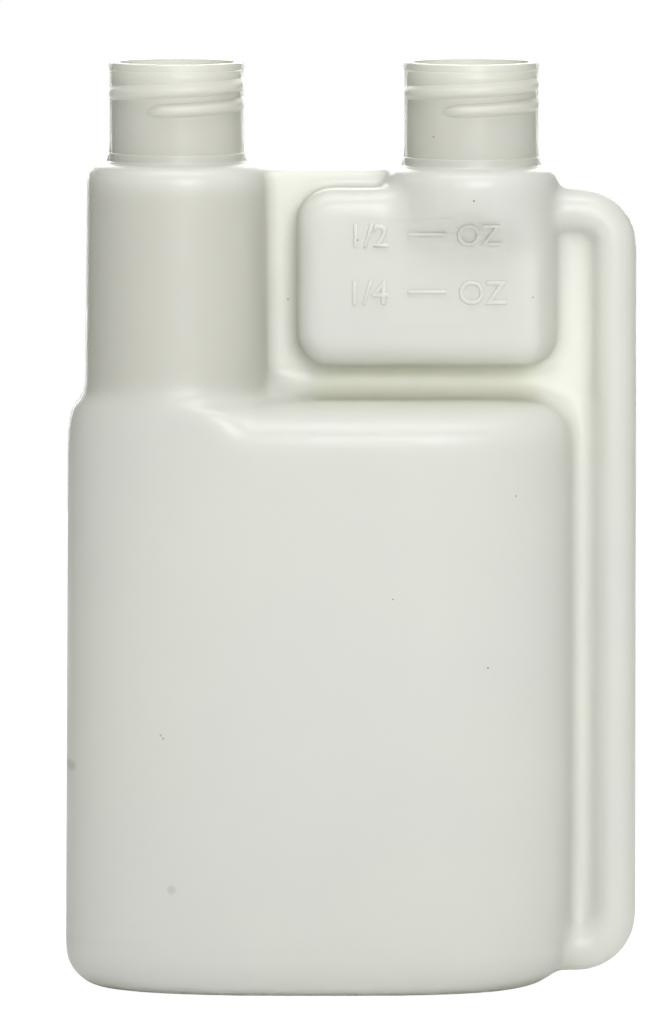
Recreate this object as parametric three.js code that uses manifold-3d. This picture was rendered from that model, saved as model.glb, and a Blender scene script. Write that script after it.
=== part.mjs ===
// A twin-neck dosing bottle, blow-moulded in one piece from natural high-density polyethylene.
// The wide reservoir stands on its base. One neck fills it. A tube runs from the foot of the
// reservoir up the right-hand side to a small measuring chamber under the second neck, so that
// squeezing the bottle lifts a dose into the chamber. Where nothing is hollow, the two walls are
// pinched together into a thin web.
// Millimetres, +Z up, front towards -Y. The origin is on the ground under the middle of the
// bottle, and the mould parts on the plane y = 0.
import * as THREE from "three";
import { mergeVertices } from "three/addons/utils/BufferGeometryUtils.js";
import Module from "manifold-3d";

const wasm = await Module();
wasm.setup();

// Whole bottle
const overallWidth = 93.0; // from the foot of the reservoir's left wall to the tube's outer wall
const overallHeight = 151.0; // from the ground to the two rims
const wall = 0.9; // thickness of every blown wall

// Reservoir
const bodyWidth = 82.8;
const bodyDepth = 37.0;
const bodyHeight = 96.3; // height of the shoulder at the web
const bodyDraft = 0.5; // how far the left wall leans in from foot to shoulder
const bodySquarenessLeft = 2.6; // exponent of the plan outline along X: 2 is an ellipse
const bodySquarenessRight = 3.4; // the end beside the tube is squarer
const shoulderDrop = 6.4; // height of the rounded edge round the shoulder
const shoulderInsetLeft = 4.0; // reach of that rounded edge at the two ends
const shoulderInsetRight = 5.7;
const shoulderInsetY = 10.0; // and at the front and back
const heelHeight = 6.7; // height of the rounded edge round the base
const heelInsetLeft = 6.5;
const heelInsetRight = 8.5;
const heelInsetY = 3.5;
const toeIn = 1.1; // how far the right wall steps back at the heel, beside the tube's foot
const toeHeight = 26.0;
const standWidth = 2.6; // flat ring that the bottle stands on
const pushUp = 1.4; // hollow in the middle of the base
const pushUpSlope = 2.4; // width of the slope between ring and hollow

// Columns that carry the two necks
const fillerInset = 18.2; // from the reservoir's left wall to the filling neck's axis
const neckSpacing = 47.9; // between the two neck axes
const fillerRadius = 14.9;
const fillerDraft = 0.4; // how much the filling column narrows towards its neck
const footFlare = 2.3; // how much the filling column widens where it grows out of the reservoir
const footRise = 2.9; // the flare starts this far above the shoulder
const footSink = 4.5; // and ends this far below it
const trimClearance = 0.3; // keeps the flare's trimmed faces just under the reservoir's own
const fillerRounding = 2.9; // rounded edge at the top of the column
const doserRadius = 14.1;
const doserRounding = 2.4;
const doserDrop = 0.7; // how much lower than the filling column the dosing column ends

// Neck finish: root, bore and thread of a 24 mm screw cap
const neckHeight = 16.2; // of the filling neck, from its column
const neckRadius = 10.75;
const boreRadius = 9.4;
const rimHeight = 1.3;
const rimStep = 0.25; // how much the rim is smaller than the neck
const collarHeight = 1.1;
const collarStep = 0.3; // how much the collar is larger than the neck
const neckFillet = 0.5;
const threadPitch = 3.175;
const threadTurns = 1.5;
const threadHeight = 1.1;
const threadRootWidth = 2.1;
const threadCrestWidth = 0.9;
const threadStart = 240; // degrees round from +X at the thread's lower end
const threadBelowRim = 6.6; // depth of the lower turn's middle where it passes the +X side
const threadFade = 24; // degrees over which each end grows out of the neck
const threadRelief = 0.9; // share of the height lost where the mould parts
const threadReliefSpan = 32; // degrees either side of the parting plane that lose height

// Measuring chamber
const chamberGap = 4.7; // from the filling column to the chamber
const chamberDepth = 18.8;
const chamberBottom = 101.9;
const chamberTop = 130.9;
const chamberCorner = 5.6; // left-hand corners of its outline, seen from the front
const chamberHeel = 4.5; // rounding of its lower right-hand corner
const chamberEdge = 3.6; // rounding from its sides to its front panel
const panelTop = 121.6; // the flat panel starts to lean out to the column here
const panelLean = 7.2; // height over which it does

// Transfer tube
const tubeWidth = 7.5;
const tubeDepth = 8.6;
const tubeTop = 130.6;
const tubeBottom = 2.5;
const tubeBend = 5.75; // radius of both elbows along the middle of the tube
const webThickness = 1.8;
const webDrop = 1.1; // from the foot of the filling neck down to the web's top edge

// Fineness of the facets, coarser inside, where nothing shows
const outerFineness = { ring: 60, round: 48, tube: 8, arc: 4 };
const innerFineness = { ring: 40, round: 32, tube: 6, arc: 3 };
const threadStep = 10; // degrees of thread between two sections

// Places worked out from the sizes above
const left = -overallWidth / 2;
const right = overallWidth / 2;
const bodyRight = left + bodyWidth;
const fillerX = left + fillerInset;
const doserX = fillerX + neckSpacing;
const tubeX = right - tubeWidth / 2;
const neckFoot = overallHeight - neckHeight;
const chamberLeft = fillerX + fillerRadius + chamberGap;
const chamberEnd = doserX + doserRadius / 2; // its right-hand end is lost in the column
const overlap = 1; // how far one solid reaches into the next before they are joined

// A closed geometry as a solid that can be joined and cut.
function solid(geometry) {
  const bare = geometry.index ? geometry.toNonIndexed() : geometry.clone();
  bare.deleteAttribute("normal");
  bare.deleteAttribute("uv");
  const merged = mergeVertices(bare, 1e-4);
  return new wasm.Manifold(
    new wasm.Mesh({
      numProp: 3,
      vertProperties: new Float32Array(merged.attributes.position.array),
      triVerts: new Uint32Array(merged.index.array),
    }),
  );
}

// A loft through a list of rings with the same number of points, closed at both ends by fans.
// The rings run anticlockwise, seen from the last one.
function loft(rings) {
  const count = rings[0].length;
  const points = rings.flat();
  const faces = [];
  const centre = (ring) => ring.reduce((sum, p) => sum.add(p), new THREE.Vector3()).divideScalar(count);
  const first = points.push(centre(rings[0])) - 1;
  const last = points.push(centre(rings.at(-1))) - 1;
  const top = (rings.length - 1) * count;
  for (let i = 0; i < count; i += 1) {
    const next = (i + 1) % count;
    faces.push(first, next, i);
    faces.push(last, top + i, top + next);
    for (let below = 0; below < top; below += count) {
      faces.push(below + i, below + next, below + count + next);
      faces.push(below + i, below + count + next, below + count + i);
    }
  }
  const geometry = new THREE.BufferGeometry().setFromPoints(points);
  geometry.setIndex(faces);
  return solid(geometry);
}

// A solid turned round an upright axis, from pairs of radius and height that start low on the axis.
function turned(profile, x, points) {
  const outline = profile.map(([radius, z]) => new THREE.Vector2(radius, z));
  const geometry = new THREE.LatheGeometry(outline, points);
  geometry.rotateX(Math.PI / 2);
  geometry.translate(x, 0, 0);
  return solid(geometry);
}

// Pairs of numbers on an arc round a centre, both ends included, in degrees.
function arc(centreU, centreV, radius, from, to, steps) {
  return Array.from({ length: steps + 1 }, (_, k) => {
    const turn = THREE.MathUtils.degToRad(from + ((to - from) * k) / steps);
    return [centreU + radius * Math.cos(turn), centreV + radius * Math.sin(turn)];
  });
}

// The sine and the cosine's complement over a quarter turn, for rounded edges.
function quarter(steps) {
  return Array.from({ length: steps + 1 }, (_, k) => {
    const turn = ((Math.PI / 2) * k) / steps;
    return { across: 1 - Math.cos(turn), along: Math.sin(turn) };
  });
}

// The reservoir's outline at a height: an ellipse squared off along X, more so at its right end.
// It is drawn in at the left end, at the right end, and at front and back.
function reservoirRing(z, drawn, inset, fineness) {
  const x0 = left + inset + (bodyDraft * z) / bodyHeight + drawn.left;
  const x1 = bodyRight - inset - toeIn * Math.max(1 - z / toeHeight, 0) ** 2 - drawn.right;
  const middle = (x0 + x1) / 2;
  const reach = (x1 - x0) / 2;
  const halfDepth = bodyDepth / 2 - inset - drawn.side;
  return Array.from({ length: fineness.ring }, (_, i) => {
    const turn = (2 * Math.PI * i) / fineness.ring;
    const c = Math.cos(turn);
    const squareness = c > 0 ? bodySquarenessRight : bodySquarenessLeft;
    const x = middle + reach * Math.sign(c) * Math.abs(c) ** (2 / squareness);
    return new THREE.Vector3(x, halfDepth * Math.sin(turn), z);
  });
}

// The reservoir, lofted from its foot to its shoulder, a given distance inside the outer surface.
function reservoir(inset, fineness) {
  const heelReach = { left: heelInsetLeft, right: heelInsetRight, side: heelInsetY };
  const shoulderReach = { left: shoulderInsetLeft, right: shoulderInsetRight, side: shoulderInsetY };
  const ring = (z, reach, share, more = 0) => {
    const drawn = (size) => (size - inset) * share + more;
    const { left: onLeft, right: onRight, side } = reach;
    const all = { left: drawn(onLeft), right: drawn(onRight), side: drawn(side) };
    return reservoirRing(z, all, inset, fineness);
  };
  const steps = quarter(fineness.arc + 3);
  const heel = steps.map(({ across, along }) =>
    ring(heelHeight - (heelHeight - inset) * along, heelReach, across),
  );
  const shoulder = steps.map(({ across, along }) =>
    ring(bodyHeight - shoulderDrop + (shoulderDrop - inset) * along, shoulderReach, across),
  );
  return loft([
    ring(inset + pushUp, heelReach, 1, standWidth + pushUpSlope),
    ring(inset, heelReach, 1, standWidth),
    ...heel.reverse(),
    ring(toeHeight / 2, heelReach, 0),
    ring(toeHeight, heelReach, 0),
    ...shoulder,
  ]);
}

// Filling column. Its foot flares in an S-curve and is trimmed to the reservoir's walls, so that
// the column runs straight down into them at the front and steps out to them at the end.
function fillerColumn(inset, fineness) {
  const steps = 2 * fineness.arc;
  const flare = Array.from({ length: steps + 1 }, (_, k) => {
    const share = k / steps;
    const eased = (1 + Math.cos(Math.PI * share)) / 2;
    return [
      fillerRadius - inset + footFlare * eased,
      bodyHeight - footSink + (footSink + footRise) * share,
    ];
  });
  const bottom = bodyHeight - shoulderDrop;
  const skirt = [[0, bottom], [flare[0][0], bottom], ...flare, [0, flare.at(-1)[1]]];
  const foot = turned(skirt, fillerX, fineness.round);
  const drawn = { left: trimClearance, right: trimClearance, side: trimClearance };
  const trim = loft(
    [bottom - overlap, bodyHeight + footRise + overlap].map((z) => reservoirRing(z, drawn, inset, fineness)),
  );
  const top = neckFoot - inset;
  const topRadius = fillerRadius - fillerDraft - inset;
  const column = turned(
    [
      [0, bottom],
      [fillerRadius - inset, bottom],
      [fillerRadius - inset, bodyHeight + footRise],
      ...arc(topRadius - fillerRounding, top - fillerRounding, fillerRounding, 0, 90, fineness.arc),
      [0, top],
    ],
    fillerX,
    fineness.round,
  );
  return column.add(foot.intersect(trim));
}

// Column under the dosing neck, cut back front and rear by the flat panels of the chamber.
function doserColumn(inset, fineness) {
  const radius = doserRadius - inset;
  const bottom = chamberBottom + inset;
  const top = neckFoot - doserDrop - inset;
  const column = turned(
    [
      [0, bottom],
      ...arc(radius - chamberHeel, bottom + chamberHeel, chamberHeel, -90, 0, fineness.arc),
      ...arc(radius - doserRounding, top - doserRounding, doserRounding, 0, 90, fineness.arc),
      [0, top],
    ],
    doserX,
    fineness.round,
  );
  const half = chamberDepth / 2 - inset;
  const clear = doserRadius + overlap;
  const side = [
    ...arc(half - chamberEdge, bottom + chamberEdge, chamberEdge, -90, 0, fineness.arc),
    [half, panelTop],
    [clear, panelTop + panelLean],
    [clear, overallHeight],
  ];
  const mirrored = side.map(([y, z]) => [-y, z]).reverse();
  const outline = new THREE.Shape([...side, ...mirrored].map(([y, z]) => new THREE.Vector2(y, z)));
  const panels = new THREE.ExtrudeGeometry(outline, { depth: 2 * clear, bevelEnabled: false });
  panels.rotateX(Math.PI / 2);
  panels.rotateZ(Math.PI / 2);
  panels.translate(doserX - clear, 0, 0);
  return column.intersect(solid(panels));
}

// Measuring chamber: a rounded outline seen from the front, lofted from front to back.
function chamberBox(inset, fineness) {
  const half = chamberDepth / 2 - inset;
  const edges = quarter(fineness.arc);
  const frontHalf = edges.map(({ across, along }) => [-half + chamberEdge * across, chamberEdge * (1 - along)]);
  const backHalf = frontHalf.map(([y, drawn]) => [-y, drawn]).reverse();
  const rings = [...frontHalf, ...backHalf].map(([y, drawn]) => {
    const by = inset + drawn;
    const corner = Math.max(chamberCorner - by, chamberEdge / 4);
    const x0 = chamberLeft + by + corner;
    const x1 = chamberEnd - by - corner;
    const z0 = chamberBottom + by + corner;
    const z1 = chamberTop - by - corner;
    const outline = [
      ...arc(x1, z1, corner, 90, 0, fineness.arc),
      ...arc(x1, z0, corner, 0, -90, fineness.arc),
      ...arc(x0, z0, corner, 270, 180, fineness.arc),
      ...arc(x0, z1, corner, 180, 90, fineness.arc),
    ];
    return outline.map(([x, z]) => new THREE.Vector3(x, y, z));
  });
  return loft(rings);
}

// One elbow of the tube's route, as an arc in the parting plane.
class Elbow extends THREE.Curve {
  constructor(x, z, from, to) {
    super();
    Object.assign(this, { x, z, from, to });
  }

  getPoint(t, target = new THREE.Vector3()) {
    const turn = THREE.MathUtils.degToRad(this.from + (this.to - this.from) * t);
    return target.set(this.x + tubeBend * Math.cos(turn), 0, this.z + tubeBend * Math.sin(turn));
  }
}

// The tube's route, with its sections spent on the elbows and few on the straights.
class TubeRoute extends THREE.Curve {
  constructor(bendSteps) {
    super();
    const top = tubeTop - tubeWidth / 2;
    const bottom = tubeBottom + tubeWidth / 2;
    const corner = tubeX - tubeBend;
    const point = (x, z) => new THREE.Vector3(x, 0, z);
    const intoChamber = point(doserX + doserRadius - chamberEdge, top);
    const intoBody = point(bodyRight - heelInsetRight, bottom);
    const spans = [
      [new THREE.LineCurve3(intoChamber, point(corner, top)), 1],
      [new Elbow(corner, top - tubeBend, 90, 0), bendSteps],
      [new THREE.LineCurve3(point(tubeX, top - tubeBend), point(tubeX, bottom + tubeBend)), 1],
      [new Elbow(corner, bottom + tubeBend, 0, -90), bendSteps],
      [new THREE.LineCurve3(point(corner, bottom), intoBody), 1],
    ];
    this.pieces = spans.flatMap(([curve, steps]) =>
      Array.from({ length: steps }, (_, k) => ({ curve, from: k / steps, to: (k + 1) / steps })),
    );
  }

  spot(u) {
    const place = Math.min(u * this.pieces.length, this.pieces.length - 1e-9);
    const piece = this.pieces[Math.floor(place)];
    return [piece.curve, piece.from + (piece.to - piece.from) * (place % 1)];
  }

  getPointAt(u, target) {
    const [curve, t] = this.spot(u);
    return curve.getPoint(t, target);
  }

  getTangentAt(u, target) {
    const [curve, t] = this.spot(u);
    return curve.getTangent(t, target);
  }
}

// Transfer tube: an oval section along its route.
function tube(inset, fineness) {
  const section = new THREE.Shape();
  section.absellipse(0, 0, tubeWidth / 2 - inset, tubeDepth / 2 - inset, 0, 2 * Math.PI, false, 0);
  const route = new TubeRoute(fineness.arc + 2);
  return solid(
    new THREE.ExtrudeGeometry(section, {
      extrudePath: route,
      steps: route.pieces.length,
      curveSegments: fineness.tube,
    }),
  );
}

// The pinched web in the parting plane, which ties reservoir, columns, chamber and tube together.
function web() {
  const top = neckFoot - webDrop;
  const tubeInTop = tubeTop - tubeWidth / 2;
  const tubeInBottom = tubeBottom + tubeWidth / 2;
  const outline = new THREE.Shape(
    [
      [fillerX, bodyHeight - shoulderDrop],
      [bodyRight - shoulderInsetRight, bodyHeight - shoulderDrop],
      [bodyRight - heelInsetRight, tubeInBottom],
      [tubeX, tubeInBottom],
      [tubeX, tubeInTop],
      [doserX, tubeInTop],
      [doserX, top],
      [fillerX, top],
    ].map(([x, z]) => new THREE.Vector2(x, z)),
  );
  const plate = new THREE.ExtrudeGeometry(outline, { depth: webThickness, bevelEnabled: false });
  plate.rotateX(Math.PI / 2);
  plate.translate(0, webThickness / 2, 0);
  return solid(plate);
}

// A neck without its thread: fillet, collar, and a rim set in a little.
function neck({ x, foot }) {
  const collar = neckRadius + collarStep;
  const collarTop = foot + neckFillet + collarHeight;
  const rimFoot = overallHeight - rimHeight;
  return turned(
    [
      [0, foot - overlap],
      [collar + neckFillet, foot - overlap],
      ...arc(collar + neckFillet, foot + neckFillet, neckFillet, 270, 180, 2),
      [collar, collarTop],
      [neckRadius, collarTop + collarStep],
      [neckRadius, rimFoot],
      [neckRadius - rimStep, rimFoot + rimStep],
      [neckRadius - rimStep, overallHeight - rimStep],
      [neckRadius - 2 * rimStep, overallHeight],
      [0, overallHeight],
    ],
    x,
    outerFineness.round,
  );
}

// One thread: a trapezoid swept up a right-hand helix. It fades out at both ends, and it is lower
// where the two halves of the mould meet.
function thread({ x }) {
  const span = 360 * threadTurns;
  const count = Math.round(span / threadStep);
  const sunk = (neckRadius - boreRadius) / 2;
  const sections = Array.from({ length: count + 1 }, (_, k) => {
    const along = (span * k) / count;
    const angle = threadStart + along;
    const end = Math.min(along, span - along) / threadFade;
    const fade = Math.sin((Math.PI / 2) * THREE.MathUtils.clamp(end, 0, 1));
    const fromParting = Math.abs(((angle + 90) % 180) - 90);
    const relief = 1 - threadRelief * Math.max(1 - fromParting / threadReliefSpan, 0);
    const crest = neckRadius + threadHeight * relief * fade;
    const widthShare = 0.5 + 0.5 * fade;
    const middle = overallHeight - threadBelowRim + (threadPitch * (angle - 360)) / 360;
    const turn = THREE.MathUtils.degToRad(angle);
    const at = (radius, z) => new THREE.Vector3(x + radius * Math.cos(turn), radius * Math.sin(turn), z);
    const root = (threadRootWidth / 2) * widthShare;
    const tip = (threadCrestWidth / 2) * widthShare;
    return [
      at(neckRadius - sunk, middle - root),
      at(crest, middle - tip),
      at(crest, middle + tip),
      at(neckRadius - sunk, middle + root),
    ];
  });
  return loft(sections.reverse());
}

// A bore through a neck into the hollow under it.
function bore({ x, foot }) {
  return turned(
    [
      [0, foot - wall - overlap],
      [boreRadius, foot - wall - overlap],
      [boreRadius, overallHeight + overlap],
      [0, overallHeight + overlap],
    ],
    x,
    innerFineness.round,
  );
}

// The moulding: every outer form joined, less the hollow, which is the same forms one wall inside.
const necks = [
  { x: fillerX, foot: neckFoot },
  { x: doserX, foot: neckFoot - doserDrop },
];
const forms = (inset, fineness) => [
  reservoir(inset, fineness),
  fillerColumn(inset, fineness),
  doserColumn(inset, fineness),
  chamberBox(inset, fineness),
  tube(inset, fineness),
];
const join = (parts) => parts.reduce((whole, piece) => whole.add(piece));
const outside = join([...forms(0, outerFineness), web(), ...necks.map(neck), ...necks.map(thread)]);
const hollow = join([...forms(wall, innerFineness), ...necks.map(bore)]);
const moulding = outside.subtract(hollow);

const made = moulding.getMesh();
const geometry = new THREE.BufferGeometry();
geometry.setAttribute("position", new THREE.BufferAttribute(made.vertProperties, 3));
geometry.setIndex(new THREE.BufferAttribute(made.triVerts, 1));
geometry.computeVertexNormals();

// Natural, undyed polyethylene: milky, a little grey and green, with a soft sheen.
const polyethylene = new THREE.MeshStandardMaterial({ color: 0xd6d9d2, roughness: 0.42, metalness: 0 });
const bottle = new THREE.Mesh(geometry, polyethylene);
bottle.name = "bottle";

const group = new THREE.Group();
group.add(bottle);
export default group;
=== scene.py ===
# %% [markdown]
# # A twin-neck dosing bottle
# The bottle is blow-moulded in one piece from natural polyethylene: a reservoir, two screw necks,
# a measuring chamber, a transfer tube and a thin pinched web. The measured model is loaded as a
# frame that never moves. This lesson makes the fine surface that is seen in its place.

# %% Load the frame
import math

import bmesh
import bpy
from mathutils import Matrix, Vector


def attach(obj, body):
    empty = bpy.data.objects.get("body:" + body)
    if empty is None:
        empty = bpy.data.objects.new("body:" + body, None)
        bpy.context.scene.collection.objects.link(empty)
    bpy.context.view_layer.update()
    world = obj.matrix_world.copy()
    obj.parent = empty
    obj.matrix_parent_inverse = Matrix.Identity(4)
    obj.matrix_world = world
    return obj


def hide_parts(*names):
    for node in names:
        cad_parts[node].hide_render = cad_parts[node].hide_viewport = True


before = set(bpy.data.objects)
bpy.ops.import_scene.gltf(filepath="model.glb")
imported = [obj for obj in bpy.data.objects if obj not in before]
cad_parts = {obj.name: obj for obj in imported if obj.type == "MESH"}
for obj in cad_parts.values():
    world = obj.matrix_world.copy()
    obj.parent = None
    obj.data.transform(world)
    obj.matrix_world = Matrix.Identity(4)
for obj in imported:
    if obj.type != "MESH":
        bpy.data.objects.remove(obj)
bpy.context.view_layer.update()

# %% [markdown]
# ## Sizes
# Sizes are in millimetres, as on a drawing, because the modelling below works in millimetres and
# the finished mesh is brought to metres once, at the end. They are those of the measured model.
# The bottle stands on z = 0 and faces -y, with its two necks side by side along x.

# %% Sizes of the reservoir and the columns
MM = 0.001
LEFT = -46.5
RIGHT = 46.5
HEIGHT = 151.0
WALL = 0.9

BODY_RIGHT = LEFT + 82.8
BODY_HALF_DEPTH = 18.5
BODY_HEIGHT = 96.3
BODY_DRAFT = 0.5
SQUARENESS_LEFT = 2.6
SQUARENESS_RIGHT = 3.4
SHOULDER_DROP = 6.4
SHOULDER_IN = (4.0, 5.7, 10.0)
HEEL_HEIGHT = 6.7
HEEL_IN = (6.5, 8.5, 3.5)
TOE_IN = 1.1
TOE_HEIGHT = 26.0
STAND_WIDTH = 2.6
PUSH_UP = 1.4
PUSH_UP_SLOPE = 2.4
NOT_DRAWN_IN = (0.0, 0.0, 0.0)

FILLER_X = LEFT + 18.2
FILLER_RADIUS = 14.9
FILLER_DRAFT = 0.4
FOOT_FLARE = 2.3
FOOT_STEP = 0.4
SHOULDER_LEDGE = 4.8
FOOT_RISE = 2.9
FOOT_SINK = 4.5
FILLER_ROUNDING = 2.9
DOSER_X = FILLER_X + 47.9
DOSER_RADIUS = 14.1
DOSER_ROUNDING = 2.4
print("reservoir", BODY_RIGHT - LEFT, "x", 2 * BODY_HALF_DEPTH, "x", BODY_HEIGHT, "mm")

# %% [markdown]
# ## Sizes of the necks
# The necks have the proportions of a common 24 mm screw finish. It is the only part of the bottle
# that has to fit something else, so it also sets the scale of everything else.

# %% Sizes of the necks
NECK_FOOT = HEIGHT - 16.2
DOSER_NECK_FOOT = NECK_FOOT - 0.7
NECKS = ((FILLER_X, NECK_FOOT), (DOSER_X, DOSER_NECK_FOOT))
NECK_RADIUS = 10.75
BORE_RADIUS = 9.4
RIM_HEIGHT = 1.3
RIM_STEP = 0.25
COLLAR_HEIGHT = 1.1
COLLAR_STEP = 0.3
NECK_FILLET = 0.5
THREAD_PITCH = 3.175
THREAD_TURNS = 1.5
THREAD_HEIGHT = 1.1
THREAD_START = math.radians(240)
THREAD_BELOW_RIM = 6.6
THREAD_FADE = math.radians(24)
THREAD_RELIEF = 0.9
THREAD_RELIEF_SPAN = math.radians(32)
print("neck", 2 * NECK_RADIUS, "mm across, bore", 2 * BORE_RADIUS, "mm")

# %% [markdown]
# ## Sizes of the chamber, the tube and the web
# The chamber is placed from the two columns, and the tube from the bottle's right-hand side, so
# that they stay in line when a column is moved.

# %% Sizes of the chamber, the tube and the web
CHAMBER_LEFT = FILLER_X + FILLER_RADIUS + 4.7
CHAMBER_RIGHT = DOSER_X + DOSER_RADIUS / 2
CHAMBER_HALF_DEPTH = 9.4
CHAMBER_BOTTOM = 101.9
CHAMBER_TOP = 130.9
CHAMBER_CORNER = 5.6
CHAMBER_HEEL = 4.5
CHAMBER_EDGE = 3.6
PANEL_TOP = 121.6
PANEL_LEAN = 7.2

TUBE_HALF_WIDTH = 3.75
TUBE_HALF_DEPTH = 4.3
TUBE_X = RIGHT - TUBE_HALF_WIDTH
TUBE_TOP = 130.6 - TUBE_HALF_WIDTH
TUBE_BOTTOM = 2.5 + TUBE_HALF_WIDTH
TUBE_BEND = 5.75
WEB_THICKNESS = 1.8
WEB_TOP = NECK_FOOT - 1.1
print("chamber", round(CHAMBER_RIGHT - CHAMBER_LEFT, 2), "mm wide, tube at x =", TUBE_X)

# %% [markdown]
# ## Helpers
# A bmesh holds the shape while it is being modelled. These helpers turn it into an object, read
# back what an object's modifiers make of it, cut or join two objects with a Boolean modifier, and
# bevel chosen edges. The Manifold solver needs closed shapes and is exact and fast with them.


# %% From bmesh to object and back
def to_object(bm, name):
    bmesh.ops.recalc_face_normals(bm, faces=bm.faces)
    mesh = bpy.data.meshes.new(name)
    bm.to_mesh(mesh)
    bm.free()
    made = bpy.data.objects.new(name, mesh)
    bpy.context.collection.objects.link(made)
    return made


def settle(piece):
    """Replace an object's mesh by what its modifiers make of it."""
    graph = bpy.context.evaluated_depsgraph_get()
    final = bpy.data.meshes.new_from_object(piece.evaluated_get(graph))
    piece.modifiers.clear()
    piece.data = final
    return piece


def drop(*pieces):
    for piece in pieces:
        bpy.data.objects.remove(piece)


def combine(piece, tool, operation):
    """Join, cut or intersect a piece with a closed tool, which is used up."""
    step = piece.modifiers.new("combine", "BOOLEAN")
    step.solver = "MANIFOLD"
    step.operation = operation
    step.object = tool
    settle(piece)
    drop(tool)
    return piece


def report(label, piece):
    corners = [Vector(corner) for corner in piece.bound_box]
    size = [max(c[i] for c in corners) - min(c[i] for c in corners) for i in range(3)]
    print(label, "faces", len(piece.data.polygons), "size", [round(side, 2) for side in size])


def block(size, middle):
    bm = bmesh.new()
    bmesh.ops.create_cube(bm, size=1.0)
    bmesh.ops.scale(bm, vec=size, verts=bm.verts)
    bmesh.ops.translate(bm, vec=middle, verts=bm.verts)
    return bm


def cuboid(low, high, name="cuboid"):
    low, high = Vector(low), Vector(high)
    return to_object(block(high - low, (low + high) / 2), name)


def along_y(edge):
    return abs(edge.verts[0].co.y - edge.verts[1].co.y)


def bevel(bm, edges, offset, segments=8):
    bmesh.ops.bevel(
        bm, geom=edges, offset=offset, segments=segments, profile=0.5, affect="EDGES", material=-1
    )


# %% [markdown]
# ## Turned and rounded forms
# The columns and necks are surfaces of revolution, so their half outline is drawn once and spun
# round the axis. Rounded edges are arcs in that outline. Spinning keeps the section true all the
# way round, which a stack of scaled rings would not.


# %% Arcs and spinning
def arc(centre_u, centre_v, radius, start, stop, steps=8):
    turns = [math.radians(start + (stop - start) * k / steps) for k in range(steps + 1)]
    return [(centre_u + radius * math.cos(t), centre_v + radius * math.sin(t)) for t in turns]


def spin_outline(bm, outline, x, steps=128):
    verts = [bm.verts.new((x + radius, 0.0, z)) for radius, z in outline]
    edges = [bm.edges.new(pair) for pair in zip(verts, verts[1:])]
    bmesh.ops.spin(
        bm,
        geom=verts + edges,
        cent=(x, 0.0, 0.0),
        axis=(0.0, 0.0, 1.0),
        angle=2 * math.pi,
        steps=steps,
        use_merge=True,
        use_duplicate=False,
    )
    bmesh.ops.remove_doubles(bm, verts=bm.verts, dist=1e-4)


# %% [markdown]
# ## The reservoir
# Seen from above the reservoir is an ellipse squared off along its length. One ring of points is
# laid at the foot, and its edges are extruded upwards ring by ring: out over the heel, straight
# up the wall and in over the shoulder. Each point keeps its own angle in a layer, so every new
# ring can be placed.


# %% Reservoir
def extrude_rings(bm, place, stations, segments):
    """Extrude a ring from station to station. place(turn, station) gives a point's position."""
    turn = bm.verts.layers.float.new("turn")
    ring = bmesh.ops.create_circle(bm, cap_ends=True, segments=segments, radius=1.0)["verts"]
    for vert in ring:
        vert[turn] = math.atan2(vert.co.y, vert.co.x)
        vert.co = place(vert[turn], stations[0])
    edges = list({edge for vert in ring for edge in vert.link_edges})
    for station in stations[1:]:
        made = bmesh.ops.extrude_edge_only(bm, edges=edges)["geom"]
        verts = {item for item in made if isinstance(item, bmesh.types.BMVert)}
        edges = [edge for edge in bm.edges if edge.verts[0] in verts and edge.verts[1] in verts]
        for vert in verts:
            vert.co = place(vert[turn], station)
    bmesh.ops.contextual_create(bm, geom=edges)


def reservoir_point(turn, z, drawn_in, inset):
    """A point of the outline at a height, drawn in at the left end, right end and the two sides."""
    x0 = LEFT + inset + BODY_DRAFT * z / BODY_HEIGHT + drawn_in[0]
    x1 = BODY_RIGHT - inset - TOE_IN * max(1 - z / TOE_HEIGHT, 0) ** 2 - drawn_in[1]
    across = math.cos(turn)
    squareness = SQUARENESS_RIGHT if across > 0 else SQUARENESS_LEFT
    squared = math.copysign(abs(across) ** (2 / squareness), across)
    y = (BODY_HALF_DEPTH - inset - drawn_in[2]) * math.sin(turn)
    return Vector(((x0 + x1) / 2 + (x1 - x0) / 2 * squared, y, z))


def reservoir(inset, segments=160, steps=12):
    quarter = [math.pi / 2 * k / steps for k in range(steps + 1)]

    def drawn(reach, share, more=0.0):
        return tuple((size - inset) * share + more for size in reach)

    stations = [
        (inset + PUSH_UP, drawn(HEEL_IN, 1, STAND_WIDTH + PUSH_UP_SLOPE)),
        (inset, drawn(HEEL_IN, 1, STAND_WIDTH)),
    ]
    for turn in reversed(quarter):
        z = HEEL_HEIGHT - (HEEL_HEIGHT - inset) * math.sin(turn)
        stations.append((z, drawn(HEEL_IN, 1 - math.cos(turn))))
    stations += [(z, NOT_DRAWN_IN) for z in (TOE_HEIGHT / 2, TOE_HEIGHT, BODY_HEIGHT / 2)]
    for turn in quarter:
        z = BODY_HEIGHT - SHOULDER_DROP + (SHOULDER_DROP - inset) * math.sin(turn)
        stations.append((z, drawn(SHOULDER_IN, 1 - math.cos(turn))))
    bm = bmesh.new()
    extrude_rings(bm, lambda turn, at: reservoir_point(turn, *at, inset), stations, segments)
    return to_object(bm, "reservoir")


# %% [markdown]
# ## The filling column
# The column rises out of the reservoir's left end. Its foot flares into a narrow rounded ledge,
# which is trimmed to the reservoir's wall: wide at the right, where it runs into the shoulder,
# and nothing at the front left, where the column and the reservoir are flush.


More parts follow.
